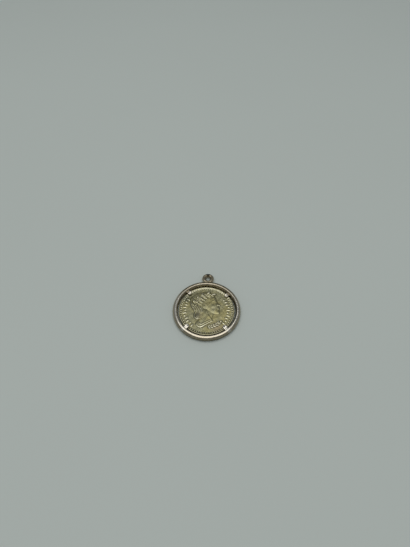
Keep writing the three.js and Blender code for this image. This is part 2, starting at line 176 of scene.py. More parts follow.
# Raised lines: width as a share of the head's height, lift as a share of its relief, and path.
FACE_LINES = [
    {"width": 0.07, "lift": 0.16, "path": [(0.26, 0.57), (0.34, 0.605), (0.425, 0.585)]},
    {"width": 0.04, "lift": 0.16, "path": [(0.285, 0.495), (0.34, 0.532), (0.4, 0.505)]},
    {"width": 0.026, "lift": 0.1, "path": [(0.3, 0.478), (0.345, 0.462), (0.39, 0.486)]},
    {"width": 0.055, "lift": 0.12, "path": [(0.415, 0.35), (0.43, 0.378), (0.468, 0.375)]},
    {"width": 0.04, "lift": 0.1, "path": [(0.395, 0.252), (0.435, 0.266), (0.474, 0.274)]},
    {"width": 0.04, "lift": 0.1, "path": [(0.4, 0.238), (0.435, 0.222), (0.464, 0.226)]},
]
EAR_LINES = [
    {
        "width": 0.05,
        "lift": 0.2,
        "path": [(0, 0.5), (-0.05, 0.54), (-0.095, 0.47), (-0.05, 0.37), (-0.01, 0.33)],
    },
    {"width": 0.03, "lift": 0.12, "path": [(-0.02, 0.47), (-0.05, 0.48), (-0.055, 0.42), (-0.03, 0.39)]},
]
# Soft rises and hollows of the flesh: place, reach along x and y, and rise, below 0 a hollow.
FLESH = [
    {"x": 0.345, "y": 0.5, "reach_x": 0.06, "reach_y": 0.035, "rise": -0.34},
    {"x": 0.345, "y": 0.497, "reach_x": 0.03, "reach_y": 0.022, "rise": 0.3},
    {"x": 0.27, "y": 0.38, "reach_x": 0.11, "reach_y": 0.08, "rise": 0.26},
    {"x": 0.46, "y": 0.4, "reach_x": 0.03, "reach_y": 0.07, "rise": 0.16},
    {"x": 0.42, "y": 0.085, "reach_x": 0.045, "reach_y": 0.045, "rise": 0.2},
    {"x": 0.4, "y": 0.165, "reach_x": 0.05, "reach_y": 0.02, "rise": -0.14},
    {"x": 0.36, "y": 0.25, "reach_x": 0.03, "reach_y": 0.06, "rise": -0.16},
    {"x": 0.36, "y": 0.72, "reach_x": 0.08, "reach_y": 0.1, "rise": 0.12},
]
# Leaves: width, length sunk in the stem and groove, as shares of the leaf.
LEAF_WIDTH = 0.36
LEAF_SINK = 0.1
LAST_LEAF_WIDTH = 0.34
LAST_LEAF_SINK = 0.2
LEAF_GROOVE = 0.22
# Twigs: lengths in millimetres, angles in degrees round the coin's axis, and the stem as shares
# of a leaf's length and of the rise.
SPRIG = {"radius": 7.35, "start": -84, "stop": -44, "pairs": 5, "leaf": 1.6, "spread": 32, "top": 0.21}
WREATH = {"radius": 7.6, "pairs": 11, "leaf": 2.3, "spread": 26, "top": 0.16}
WREATH_ARCS = [(-82, 68), (-98, -248)]
TWIG_POINTS = 40
TWIG_WIDTH = 0.14
TWIG_RISE = 0.9
# The border, in millimetres and degrees.
BEAD_HEIGHT = 0.14
RAY_ARCS = [(-40, 36), (148, 232)]
RAY_GAP = 0.2
# Lengths of neighbouring rays and of the bare foot before each, as shares of the longest ray.
RAY_SHARES = [(1, 0), (0.55, 0.1), (0.8, 0.2), (0.95, 0), (0.5, 0.4)]
# Uneven wear of the coin's face: depth and wavelengths in millimetres.
WEAR = [
    (0.03, {"seed": 5, "shortest": 3, "longest": 9, "count": 6}),
    (0.04, {"seed": 8, "shortest": 1.2, "longest": 2.6, "count": 16}),
]
# The coin's grid: points round each ring, rings, and the radii in millimetres between them.
COIN_AROUND = 420
MIDDLE_RADIUS = 0.06
RELIEF_RADIUS = 8.4
RELIEF_RINGS = 124
BORDER_RADIUS = 8.46
BORDER_RINGS = 44
EDGE_RINGS = 6
BACK_RINGS = 58
BACK_MIDDLE_RADIUS = 0.2
# A recess is counted full where the metal lies this many millimetres under its blurred
# surroundings. The face and the back are blurred by so many passes.
FULL_RECESS = 0.06
FACE_BLUR = 14
BACK_BLUR = 5
# The frame's grid: points of the band's section, then points round it.
CORNER_POINTS = 7
BACK_POINTS = 33
SHOULDER_POINTS = 14
WALL_POINTS = 6
BAND_AROUND = 400
# Hand finishing: height in millimetres, waves round the band and phase.
BAND_WAVES = [(0.012, 3, 1), (0.008, 7, 0)]
CLAW_ANGLES = (42, 133.5, 226.5, 314)
# Claws and tabs: depth of their roots in the band in millimetres, stations along them, points
# round each, the power that squares their sections, how soon a tip closes, and their thinnest half.
CLAW_ROOT = 0.7
CLAW_STATIONS = 34
STRIP_AROUND = 48
STRIP_SQUARENESS = 0.5
TIP_CLOSING = 4
THINNEST = 0.01
# Height of the back tabs' undersides over the band's, so that their union has no shared plane.
TAB_LIFT = 0.01
# The hanging ring: points round it and round its wire.
RING_AROUND = 96
WIRE_AROUND = 40
# Share of a step that turns the hanging ring's points off the band's, for the same reason.
RING_TURN = 0.37
# Thickening of the ring's wire at its foot, and its reach round the ring.
FOOT_SWELL = 0.12
FOOT_REACH = 0.3
# The solder: half sizes in millimetres, rings, points round each, and radians open at its poles.
SOLDER_SIZE = (1.25, 0.75, 0.72)
SOLDER_RINGS = 24
SOLDER_AROUND = 40
POLE_ANGLE = 0.02
# Edges of the joined frame that turn by more than this are shaded sharp.
SHARP_ANGLE = math.radians(38)
# Hairline marks: scale of their noise, then each course in radians and the squash along it.
MARK_SCALE = 4
MARK_COURSES = ((0.5, 0.05), (-0.9, 0.07))
# Masks of the metals' tones. Each row is a smooth step: what is measured, the place it is measured
# from, the two distances in millimetres between which it changes, and its values there. Measures
# are x, y and z, r from the coin's axis, the recess, noises, and distances to a place on the
# hanging ring. A mask is the product of its rows.
COIN_MASKS = {
    "deep": [("recess", "axis", 0.05, 0.75, 0, 1)],
    "high": [("recess", "axis", -0.9, -0.1, 1, 0)],
    # Painted highlight: a bright band on the rim's inner slope on the far side, broken up by noise.
    "far_rim_highlight": [
        ("r", "axis", 9.8, 10.05, 0, 1),
        ("r", "axis", 10.3, 10.65, 1, 0),
        ("y", "axis", 0, 9, 0, 0.6),
        ("wear", "axis", 0.4, 0.6, 0.3, 1),
    ],
    # Painted shade: the rim darkened on the near side.
    "near_rim_shade": [
        ("r", "axis", 10.15, 10.4, 0, 1),
        ("r", "axis", 10.7, 10.9, 1, 0),
        ("y", "axis", -9.5, -4, 0.55, 0),
    ],
}
FRAME_MASKS = {
    # The crest is worn bright; painted shade dims it at its near edge and on the far side.
    "crest": [
        ("z", "top", -0.3, -0.04, 0, 1),
        ("r", "outer", -0.9, -0.5, 1, 0.35),
        ("y", "axis", -13.17, -4, 0.3, 1),
        ("y", "axis", 2, 10, 1, 0.15),
    ],
    # Claw tops are worn bright; painted shade dims them towards the far side.
    "claws": [
        ("r", "inner", -0.1, 0.02, 1, 0),
        ("z", "axis", 1.32, 1.5, 0, 1),
        ("y", "axis", 0, 7, 1, 0.6),
    ],
    # Painted highlight along the roots of the near claws.
    "claw_root_highlight": [("z", "axis", 1.5, 1.8, 0, 1), ("y", "axis", -2, 4, 1, 0)],
    # Painted shade on the band's inner wall and shoulder by the coin, lighter on the far side and on the
    # left.
    "shade_by_coin": [
        ("r", "inner", 0.3, 0.85, 0.85, 0),
        ("y", "axis", 2, 10, 1, 0.25),
        ("x", "axis", -11.25, -4, 0.15, 1),
    ],
    # Painted shade low on the band's outer wall, deeper on the near side.
    "low_wall_shade": [
        ("z", "axis", 1.1, 2.2, 1, 0),
        ("r", "outer", -0.7, -0.3, 0, 1),
        ("y", "axis", -13.17, 0, 0.95, 0.65),
    ],
    # Painted shade on the band's outer slope on the far side.
    "far_slope_shade": [("y", "axis", 3, 10, 0, 0.72), ("r", "outer", -1.5, -0.7, 0, 1)],
    "on_band": [("r", "outer", 0, 0.3, 1, 0)],
    "hanging_ring": [
        ("y", "outer", 0.1, 2.4, 0, 1),
        ("cloud", "axis", 0.1, 0.9, 0.3, 1),
        ("ring_hole", "axis", 1, 1.5, 0.2, 1),
    ],
    "ring_end": [("ring_end", "axis", 0.6, 1.1, 1, 0)],
}
# The black spot at the hanging ring's far end: distance from the hole's middle, and height.
RING_END_REACH = 1.8
RING_END_HEIGHT = 1.7
# Patches on the coin: height of their middles, and reach of each, in millimetres.
PATCH_HEIGHT = 1.6
GREEN_REACH = 3.2
LOW_BROWN_REACH = 3.4
HAIR_BROWN_REACH = 2.2
# The photograph's frame in pixels, the sensor in millimetres and the floor in metres.
IMAGE_WIDTH = 410
IMAGE_HEIGHT = 547
SENSOR_WIDTH = 36
FLOOR_HALF = 3
FLOOR_POINTS = 9
# Share of the frame's height at which the camera aims, and what it sees between, in metres.
AIM_SHARE = 0.6
NEAR_CLIP = 0.005
FAR_CLIP = 20


def catmull(points, per_span):
    """A smooth path through the points: on each span the uniform Catmull-Rom cubic of the four
    points round it, with the path's own ends repeated."""
    p = np.asarray(points, float)
    p = np.vstack([p[:1], p, p[-1:]])
    t = np.arange(per_span)[:, None] / per_span
    spans = []
    for a, b, c, d in zip(p[:-3], p[1:-2], p[2:-1], p[3:]):
        slope, bend, twist = c - a, 2 * a - 5 * b + 4 * c - d, d - a + 3 * (b - c)
        spans.append(b + t / 2 * slope + t**2 / 2 * bend + t**3 / 2 * twist)
    return np.vstack(spans + [p[-1:]])


def nearest(x, y, path):
    """Distance of each point to a path, the share of the path that lies before its nearest point,
    and the side: the foot on each straight piece is clamped to it, and the shortest wins."""
    start, step = path[:-1], np.diff(path, axis=0)
    best = np.full(x.shape, np.inf)
    share = np.zeros(x.shape)
    side = np.zeros(x.shape)
    for i, ((px, py), (dx, dy)) in enumerate(zip(start, step)):
        foot = np.clip(((x - px) * dx + (y - py) * dy) / (dx * dx + dy * dy), 0, 1)
        off_x, off_y = x - px - foot * dx, y - py - foot * dy
        distance = np.hypot(off_x, off_y)
        closer = distance < best
        best = np.where(closer, distance, best)
        share = np.where(closer, (i + foot) / len(step), share)
        side = np.where(closer, np.sign(dx * off_y - dy * off_x), side)
    return best, share, side


def inside(x, y, outline):
    """Whether each point is inside a closed outline: a ray to the right crosses it an odd number
    of times."""
    crossed = np.zeros(x.shape, bool)
    for (ax, ay), (bx, by) in zip(outline, np.roll(outline, -1, axis=0)):
        if ay == by:
            continue
        spans = (ay > y) != (by > y)
        crossed ^= spans & (x < (bx - ax) * (y - ay) / (by - ay) + ax)
    return crossed


class Relief:
    """A height field over points of the coin's plane, in millimetres above the field."""

    def __init__(self, x, y):
        self.x = x
        self.y = y
        self.height = np.zeros(x.shape)

    def near(self, path, reach):
        """The points in the box round a path, widened by a reach."""
        low, high = path.min(0) - reach, path.max(0) + reach
        return (self.x > low[0]) & (self.x < high[0]) & (self.y > low[1]) & (self.y < high[1])

    def pillow(self, outline, relief, shoulder):
        """Raises the inside of an outline: relief times the root of 1 - (1 - d / shoulder)^2, where
        d is the depth inside it, so the edge is steep and the middle level."""
        at = self.near(outline, 0)
        x, y = self.x[at], self.y[at]
        depth, _, _ = nearest(x, y, np.vstack([outline, outline[:1]]))
        rise = relief * np.sqrt(1 - (1 - np.clip(depth / shoulder, 0, 1)) ** 2)
        raised = np.maximum(self.height[at], rise)
        self.height[at] = np.where(inside(x, y, outline), raised, self.height[at])

    def ridge(self, path, width, relief, strands=0, add=False):
        """Raises a rounded ridge: relief times the root of 1 - s^2, where s is the distance to the
        path over a half width that swells as the root of sin(pi t) along it. Strands are cosine
        grooves across it. It lies on what is there if add is set, and otherwise stands in it."""
        at = self.near(path, width)
        distance, share, side = nearest(self.x[at], self.y[at], path)
        swell = np.sqrt(np.clip(np.sin(np.pi * np.clip(share, 0.02, 0.98)), 0, 1))
        across = np.clip(distance / (width / 2 * swell), 0, 1)
        rise = relief * swell * np.sqrt(1 - across**2)
        if strands:
            rise = rise * (1 - STRAND_DEPTH * (1 - np.cos(strands * np.pi * across * side)))
        if add:
            self.height[at] += rise
        else:
            self.height[at] = np.maximum(self.height[at], rise)

    def swell(self, x, y, reach_x, reach_y, rise):
        """Adds a soft rise: rise times the exponential of minus the squared distance over reach."""
        squared = ((self.x - x) / reach_x) ** 2 + ((self.y - y) / reach_y) ** 2
        raised = self.height > 0
        self.height[raised] += rise * np.exp(-squared[raised])

    def leaf(self, root, course, length, width, relief):
        """Raises a pointed leaf: its half width follows sin(pi t)^0.7, with a round back and a
        groove along its middle."""
        tip = root + course * length
        path = np.linspace(root, tip, 9)
        at = self.near(path, width)
        distance, share, _ = nearest(self.x[at], self.y[at], path)
        shape = np.sin(np.pi * np.clip(share, 0.01, 0.99)) ** 0.7
        across = np.clip(distance / (width / 2 * shape), 0, 1)
        groove = LEAF_GROOVE * np.exp(-((across / LEAF_GROOVE) ** 2))
        rise = relief * shape**0.5 * np.sqrt(1 - across**2) * (1 - groove)
        self.height[at] = np.maximum(self.height[at], rise)


def on_circle(radius, degrees):
    """The point of a circle round the coin's axis at an angle from +X."""
    return radius * np.array([math.cos(math.radians(degrees)), math.sin(math.radians(degrees))])


def turned(vector, degrees):
    """A vector turned anticlockwise."""
    c, s = math.cos(math.radians(degrees)), math.sin(math.radians(degrees))
    return np.array([c * vector[0] - s * vector[1], s * vector[0] + c * vector[1]])


def head_places(sizes, points):
    """The head's table points on the coin: scaled, leant back round the ear hole and moved."""
    p = np.asarray(points, float) - (0, sizes.ear_share)
    c, s = math.cos(sizes.head_tilt), math.sin(sizes.head_tilt)
    height = sizes.head_height / MM
    return p @ np.array([[c, s], [-s, c]]) * height + (sizes.ear_x / MM, sizes.ear_y / MM)


def raise_lines(relief, sizes, lines):
    """Adds rounded lines on top of what is there."""
    for line in lines:
        path = head_places(sizes, catmull(line["path"], 6))
        width = line["width"] * sizes.head_height / MM
        relief.ridge(path, width, line["lift"] * sizes.head_relief / MM, add=True)


def raise_head(relief, sizes):
    """Neck, face and hair as pillows, then flesh, lines, locks and the leaf crown."""
    height = sizes.head_height / MM
    top = sizes.head_relief / MM

    def place(*stretches):
        return np.vstack([head_places(sizes, catmull(s, 8))[:-1] for s in stretches])

    relief.pillow(place(NECK_FRONT, NECK_CUT, NECK_BACK), NECK_RISE * top, NECK_EDGE * height)
    throat = head_places(sizes, catmull(THROAT, 6))
    relief.ridge(throat, THROAT_WIDTH * height, THROAT_RISE * top, add=True)
    for path in FOLDS:
        fold = head_places(sizes, catmull(path, 8))
        relief.ridge(fold, FOLD_WIDTH * height, FOLD_RISE * top, add=True)
    relief.pillow(place(FACE, FACE_BACK), FACE_RISE * top, FACE_EDGE * height)
    for f in FLESH:
        x, y = head_places(sizes, [(f["x"], f["y"])])[0]
        relief.swell(x, y, f["reach_x"] * height, f["reach_y"] * height, f["rise"] * FLESH_RISE * top)
    raise_lines(relief, sizes, FACE_LINES)
    relief.pillow(place(HAIR + HAIR[:1]), HAIR_RISE * top, HAIR_EDGE * height)
    raise_lines(relief, sizes, EAR_LINES)
    for group in LOCKS:
        first, last = catmull(group["first"], 8), catmull(group["last"], 8)
        for i in range(group["count"]):
            share = i / (group["count"] - 1)
            path = head_places(sizes, first + (last - first) * share)
            relief.ridge(path, group["width"] * height, LOCK_RISE * top, strands=LOCK_STRANDS)
    stem = head_places(sizes, catmull(CROWN_STEM, 12))
    relief.ridge(stem, CROWN_STEM_WIDTH * height, top)
    leaf_pairs(relief, stem, CROWN_PAIRS, CROWN_LEAF * height, CROWN_SPREAD, top)


def leaf_pairs(relief, stem, pairs, length, spread, top):
    """Pairs of leaves along a stem, a like share of it apart, each turned out by the spread, and
    one leaf at its end."""
    for i in range(pairs):
        k = int(i / pairs * (len(stem) - 1))
        along = stem[k + 1] - stem[k]
        along = along / np.hypot(*along)
        for side in (-1, 1):
            course = turned(along, side * spread)
            relief.leaf(stem[k] - LEAF_SINK * length * along, course, length, LEAF_WIDTH * length, top)
    relief.leaf(stem[-1] - LAST_LEAF_SINK * length * along, along, length, LAST_LEAF_WIDTH * length, top)


def raise_border(relief, sizes, beads_only=False):
    """A ring of beads, each a dome whose height follows the root of 1 - d^2 over its half width,
    and unless only beads are wanted, rays in two arcs."""
    radius = COIN_HIGH.x / MM
    bead = sizes.bead_diameter / MM
    circle = radius - sizes.rim_width / MM - sizes.bead_gap / MM - bead / 2
    angle = np.arctan2(relief.y, relief.x)
    pitch = 2 * np.pi / sizes.bead_count
    turn = angle - np.round(angle / pitch) * pitch
    r = np.hypot(relief.x, relief.y)
    off = np.hypot(r - circle, turn * circle) / (bead / 2)
    dome = BEAD_HEIGHT * np.sqrt(np.clip(1 - off**2, 0, 1))
    relief.height = np.maximum(relief.height, dome)
    if beads_only:
        return
    outer = circle - bead / 2 - RAY_GAP
    length = sizes.ray_length / MM
    for start, stop in RAY_ARCS:
        count = round(math.radians(stop - start) * (outer - length / 2) / (sizes.ray_pitch / MM)) + 1
        for i in range(count):
            degrees = start + (stop - start) * i / (count - 1)
            share, foot = RAY_SHARES[i % len(RAY_SHARES)]
            root = outer - foot * length
            path = np.linspace(on_circle(root, degrees), on_circle(root - share * length, degrees), 4)
            relief.ridge(path, sizes.ray_width / MM, sizes.ray_relief / MM)


def raise_twig(relief, radius, start, stop, pairs, leaf, spread, top):
    """A twig along a circle, with its leaves."""
    shares = np.linspace(0, 1, TWIG_POINTS)
    stem = np.array([on_circle(radius, start + (stop - start) * t) for t in shares])
    relief.ridge(stem, TWIG_WIDTH * leaf, TWIG_RISE * top)
    leaf_pairs(relief, stem, pairs, leaf, spread, top)


def face_height(x, y, sizes):
    """The face's relief over its field."""
    relief = Relief(x, y)
    raise_head(relief, sizes)
    raise_twig(relief, **SPRIG)
    raise_border(relief, sizes)
    return relief.height


def back_height(x, y, sizes):
    """The back's relief over its field, seen from below."""
    relief = Relief(-x, y)
    for start, stop in WREATH_ARCS:
        raise_twig(relief, start=start, stop=stop, **WREATH)
    raise_border(relief, sizes, beads_only=True)
    return relief.height


def rim_height(r, sizes):
    """The rim's rise over the field: a worn inner slope, a quarter of a sine wave, that rises from
    a crisp foot to a level top, with the outer edge rounded by a quarter circle."""
    radius = COIN_HIGH.x / MM
    foot = radius - (sizes.rim_width + sizes.rim_slope / 2) / MM
    t = np.clip((r - foot) / (sizes.rim_slope / MM), 0, 1)
    corner = sizes.edge_radius / MM
    edge = np.clip((r - radius + corner) / corner, 0, 1)
    return sizes.rim_height / MM * np.sin(t * np.pi / 2) - corner * (1 - np.sqrt(1 - edge**2))


def softened(grid, passes):
    """A grid of values blurred by passes of 1-2-1 weights along and across, closed round."""
    for _ in range(passes):
        grid = (np.roll(grid, 1, 1) + 2 * grid + np.roll(grid, -1, 1)) / 4
        padded = np.vstack([grid[:1], grid, grid[-1:]])
        grid = (padded[:-2] + 2 * padded[1:-1] + padded[2:]) / 4
    return grid


def wave(x, y, seed, shortest, longest, count):
    """A smooth uneven value from -1 to 1: the mean of sine waves of several courses and lengths."""
    rng = np.random.default_rng(seed)
    total = 0
    for _ in range(count):
        course, phase = rng.uniform(0, 2 * np.pi), rng.uniform(0, 2 * np.pi)
        length = rng.uniform(shortest, longest)
        along = x * math.cos(course) + y * math.sin(course)
        total = total + np.sin(2 * np.pi * along / length + phase)
    return total / count


def closed_mesh(name, rings, wrap=False):
    """A mesh of rings of points, each closed on itself, joined in order by quads. The ends are
    closed by a fan round their middle point, or joined to each other if wrap is set."""
    rows, around = rings.shape[:2]
    index = np.arange(rows * around).reshape(rows, around)
    nxt = np.roll(index, -1, axis=1)
    lower, upper = (index, np.roll(index, -1, axis=0)) if wrap else (index[:-1], index[1:])
    lower_next, upper_next = (nxt, np.roll(nxt, -1, axis=0)) if wrap else (nxt[:-1], nxt[1:])
    quads = np.stack([lower, lower_next, upper_next, upper], axis=-1).reshape(-1, 4).tolist()
    points = rings.reshape(-1, 3)
    fans = []
    if not wrap:
        points = np.vstack([points, rings[0].mean(0), rings[-1].mean(0)])
        first, last = len(points) - 2, len(points) - 1
        fans = [(first, b, a) for a, b in zip(index[0], nxt[0])]
        fans += [(last, a, b) for a, b in zip(index[-1], nxt[-1])]
    mesh = bpy.data.meshes.new(name)
    mesh.from_pydata(points.tolist(), [], quads + [tuple(map(int, f)) for f in fans])
    mesh.validate()
    mesh.polygons.foreach_set("use_smooth", np.ones(len(mesh.polygons), bool))
    mesh.update()
    return mesh


def new_piece(name, mesh, material, node):
    """Puts a mesh in the scene as the piece that stands for a node."""
    piece = bpy.data.objects.new(name, mesh)
    bpy.context.scene.collection.objects.link(piece)
    mesh.materials.clear()
    mesh.materials.append(material)
    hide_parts(node)
    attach(piece, "root")
    return piece


def recess_of(surface, passes):
    """How far a surface lies under its blurred surroundings, from -1 to 1."""
    return np.clip((softened(surface, passes) - surface) / FULL_RECESS, -1, 1)


def coin_rings(sizes):
    """The coin's surface as rings, out over the face, down the edge and in under the back, and
    the recess of each point."""
    radius = COIN_HIGH.x / MM
    angles = np.arange(COIN_AROUND) * 2 * np.pi / COIN_AROUND
    relief_r = np.linspace(MIDDLE_RADIUS, RELIEF_RADIUS, RELIEF_RINGS)
    face_r = np.concatenate([relief_r, np.linspace(BORDER_RADIUS, radius, BORDER_RINGS)])
    back_r = np.linspace(radius, BACK_MIDDLE_RADIUS, BACK_RINGS)
    low = COIN_LOW.z / MM
    field = low + (sizes.coin_thickness - sizes.rim_height) / MM

    def spread(r):
        return r[:, None] * np.cos(angles), r[:, None] * np.sin(angles)

    x, y = spread(face_r)
    face = face_height(x, y, sizes) + rim_height(face_r, sizes)[:, None]
    worn = 0
    for depth, waves in WEAR:
        worn = worn + depth * wave(x, y, **waves)
    face_rings = np.stack([x, y, field + face + worn], axis=-1)
    x, y = spread(back_r)
    back = back_height(x, y, sizes) + rim_height(back_r, sizes)[:, None]
    back_rings = np.stack([x, y, low + sizes.rim_height / MM - back], axis=-1)
    share = np.linspace(0, 1, EDGE_RINGS + 2)[1:-1, None, None]
    edge_rings = face_rings[-1] + (back_rings[0] - face_rings[-1]) * share
    rings = np.vstack([face_rings, edge_rings, back_rings])
    edge_recess = np.zeros((EDGE_RINGS, COIN_AROUND))
    recess = np.vstack([recess_of(face, FACE_BLUR), edge_recess, recess_of(back, BACK_BLUR)])
    return rings * MM + (0, COIN_CENTRE_Y, 0), recess


def band_section(sizes):
    """The band's section: a straight inner wall, a shoulder that is a quarter ellipse, a narrow level
    crest, a back that is a half ellipse, and a flat underside with a small quarter circle."""
    height = (FRAME_HIGH.z - FRAME_LOW.z) / MM
    outer = FRAME_HIGH.x / MM
    inner = outer - sizes.band_width / MM
    shoulder = sizes.shoulder_width / MM
    drop = sizes.shoulder_height / MM
    corner = sizes.band_corner / MM
    crest = inner + shoulder + sizes.band_crest / MM
    quarter = np.linspace(0, np.pi / 2, CORNER_POINTS)
    half = np.linspace(-np.pi / 2, np.pi / 2, BACK_POINTS)
    fine = np.linspace(np.pi / 2, np.pi, SHOULDER_POINTS)
    low = np.stack([inner + corner * (1 - np.cos(quarter)), corner * (1 - np.sin(quarter))], axis=-1)
    back = np.stack([crest + (outer - crest) * np.cos(half), height / 2 * (1 + np.sin(half))], axis=-1)
    high_r = inner + shoulder * (1 + np.cos(fine))
    high = np.stack([high_r, height - drop * (1 - np.sin(fine))], axis=-1)
    wall_z = np.linspace(height - drop, corner, WALL_POINTS + 2)[1:-1]
    wall = np.stack([np.full(WALL_POINTS, inner), wall_z], axis=-1)
    return np.vstack([low, back, high, wall])


def band_rings(sizes):
    """The band: its section turned round the coin's axis, a little uneven from hand finishing."""
    section = band_section(sizes)
    angles = np.arange(BAND_AROUND) * 2 * np.pi / BAND_AROUND
    uneven = sum(height * np.sin(count * angles + phase) for height, count, phase in BAND_WAVES)
    r = section[None, :, 0] + uneven[:, None]
    z = np.repeat(section[None, :, 1], len(angles), 0)
    rings = np.stack([r * np.cos(angles)[:, None], r * np.sin(angles)[:, None], z], axis=-1)
    return rings[::-1] * MM + (0, COIN_CENTRE_Y, 0)


def strip_rings(sizes, degrees, along, low, high, dish=0.0):
    """A strip along a radius, from its root in the band to a round tip: at each station a section
    with rounded corners, a superellipse, fills its width and the heights between low and high.
    The half width follows a quarter circle into the tip, and the thickness closes after it. A dish,
    a bell curve of the distance to its middle, is pressed into the top near the tip."""
    half = sizes.claw_width / MM / 2
    to_tip = np.clip((along - along[-1]) / half, 0, 1)
    width = half * np.sqrt(1 - (1 - to_tip) ** 2)
    closing = np.sqrt(1 - (1 - np.clip(to_tip * TIP_CLOSING, 0, 1)) ** 2)
    turn = np.arange(STRIP_AROUND) * 2 * np.pi / STRIP_AROUND
    c, s = np.cos(turn), np.sin(turn)
    round_c = np.sign(c) * np.abs(c) ** STRIP_SQUARENESS
    round_s = np.sign(s) * np.abs(s) ** STRIP_SQUARENESS
    across = np.maximum(width, THINNEST)[:, None] * round_c
    thick = np.maximum((high - low) / 2 * closing, THINNEST)
    away = np.hypot(along[:, None] - along[-1] - half, across)
    pressed = dish * np.exp(-((away / (half / 2)) ** 2)) * (s > 0)
    z = ((high + low) / 2)[:, None] + thick[:, None] * round_s - pressed
    a = math.radians(degrees)
    x = along[:, None] * math.cos(a) - across * math.sin(a)
    y = along[:, None] * math.sin(a) + across * math.cos(a)
    return np.stack([x, y, z], axis=-1) * MM + (0, COIN_CENTRE_Y, 0)


def stations(sizes):
    """Radii along a claw, from its root in the band to its tip, close together at the tip."""
    root = FRAME_HIGH.x / MM - sizes.band_width / MM + CLAW_ROOT
    tip = COIN_HIGH.x / MM - sizes.claw_grip / MM
    return root + (tip - root) * np.sin(np.linspace(0, np.pi / 2, CLAW_STATIONS))


def claw_rings(sizes, degrees):
    """A claw arches out of the inner wall, under the crest, on to the coin's rim: both its faces
    follow the parabola 4 t (1 - t) from the wall to the tip, times the arch. The setter's punch has
    left a dish near its tip."""
    along = stations(sizes)
    inner = FRAME_HIGH.x / MM - sizes.band_width / MM
    coin_sizes = bpy.context.scene.pendant_coin
    base = (COIN_LOW.z + coin_sizes.coin_thickness + sizes.coin_clearance) / MM
    t = np.clip((inner - along) / (inner - along[-1]), 0, 1)
    low = base + sizes.claw_arch / MM * 4 * t * (1 - t)
    return strip_rings(sizes, degrees, along, low, low + sizes.claw_thickness / MM, sizes.claw_dish / MM)


def tab_rings(sizes, degrees):
    """A thin flat tab behind the coin, under a claw."""
    along = stations(sizes)
    level = np.full(len(along), TAB_LIFT)
    return strip_rings(sizes, degrees, along, level, level + sizes.tab_thickness / MM)


def ring_rings(sizes):
    """The hanging ring: a circle carried round a circle, with a little solder where it meets
    the band as a swelling of the wire towards its foot."""
    wire = sizes.ring_wire / MM / 2
    radius = (sizes.ring_wire + sizes.ring_hole) / MM / 2
    centre = FRAME_HIGH.y / MM - radius - wire
    around = (np.arange(RING_AROUND) + RING_TURN) * 2 * np.pi / RING_AROUND
    over = np.arange(WIRE_AROUND) * 2 * np.pi / WIRE_AROUND
    foot = np.exp(-((np.sin((around + np.pi / 2) / 2) / FOOT_REACH) ** 2))
    swelled = wire * (1 + FOOT_SWELL * foot[:, None] * np.clip(np.cos(over), 0, 1))
    r = radius + swelled * np.cos(over)
    z = (FRAME_HIGH.z / MM) / 2 + swelled * np.sin(over)
    x = r * np.cos(around)[:, None]
    y = centre + r * np.sin(around)[:, None]
    return np.stack([x, y, z], axis=-1) * MM


def solder_rings():
    """A small pool of solder at the hanging ring's foot: an ellipsoid of rings."""
    over = np.linspace(POLE_ANGLE, np.pi - POLE_ANGLE, SOLDER_RINGS)
    around = np.arange(SOLDER_AROUND) * 2 * np.pi / SOLDER_AROUND
    half_x, half_y, half_z = SOLDER_SIZE
    x = half_x * np.sin(over)[:, None] * np.cos(around)
    y = half_y * np.sin(over)[:, None] * np.sin(around)
    z = np.repeat(half_z * np.cos(over)[:, None], SOLDER_AROUND, 1)
    place = (0, FRAME_HIGH.x + COIN_CENTRE_Y, FRAME_HIGH.z / 2)
    return np.stack([x, y, z], axis=-1)[::-1] * MM + place


def soldered(name, meshes):
    """Joins closed meshes into one body by boolean union."""
    base = bpy.data.objects.new(name, meshes[0])
    tools = bpy.data.collections.new(name + "_parts")
    bpy.context.scene.collection.objects.link(base)
    bpy.context.scene.collection.children.link(tools)
    for mesh in meshes[1:]:
        tools.objects.link(bpy.data.objects.new(mesh.name, mesh))
    union = base.modifiers.new("Union", "BOOLEAN")
    union.operation = "UNION"
    union.solver = "EXACT"
    union.operand_type = "COLLECTION"
    union.collection = tools
    graph = bpy.context.evaluated_depsgraph_get()
    joined = bpy.data.meshes.new_from_object(base.evaluated_get(graph))
    joined.name = name
    for part in list(tools.objects):
        bpy.data.objects.remove(part)
    bpy.data.collections.remove(tools)
    bpy.data.objects.remove(base)
    joined.polygons.foreach_set("use_smooth", np.ones(len(joined.polygons), bool))
    joined.set_sharp_from_angle(angle=SHARP_ANGLE)
    joined.update()
    return joined


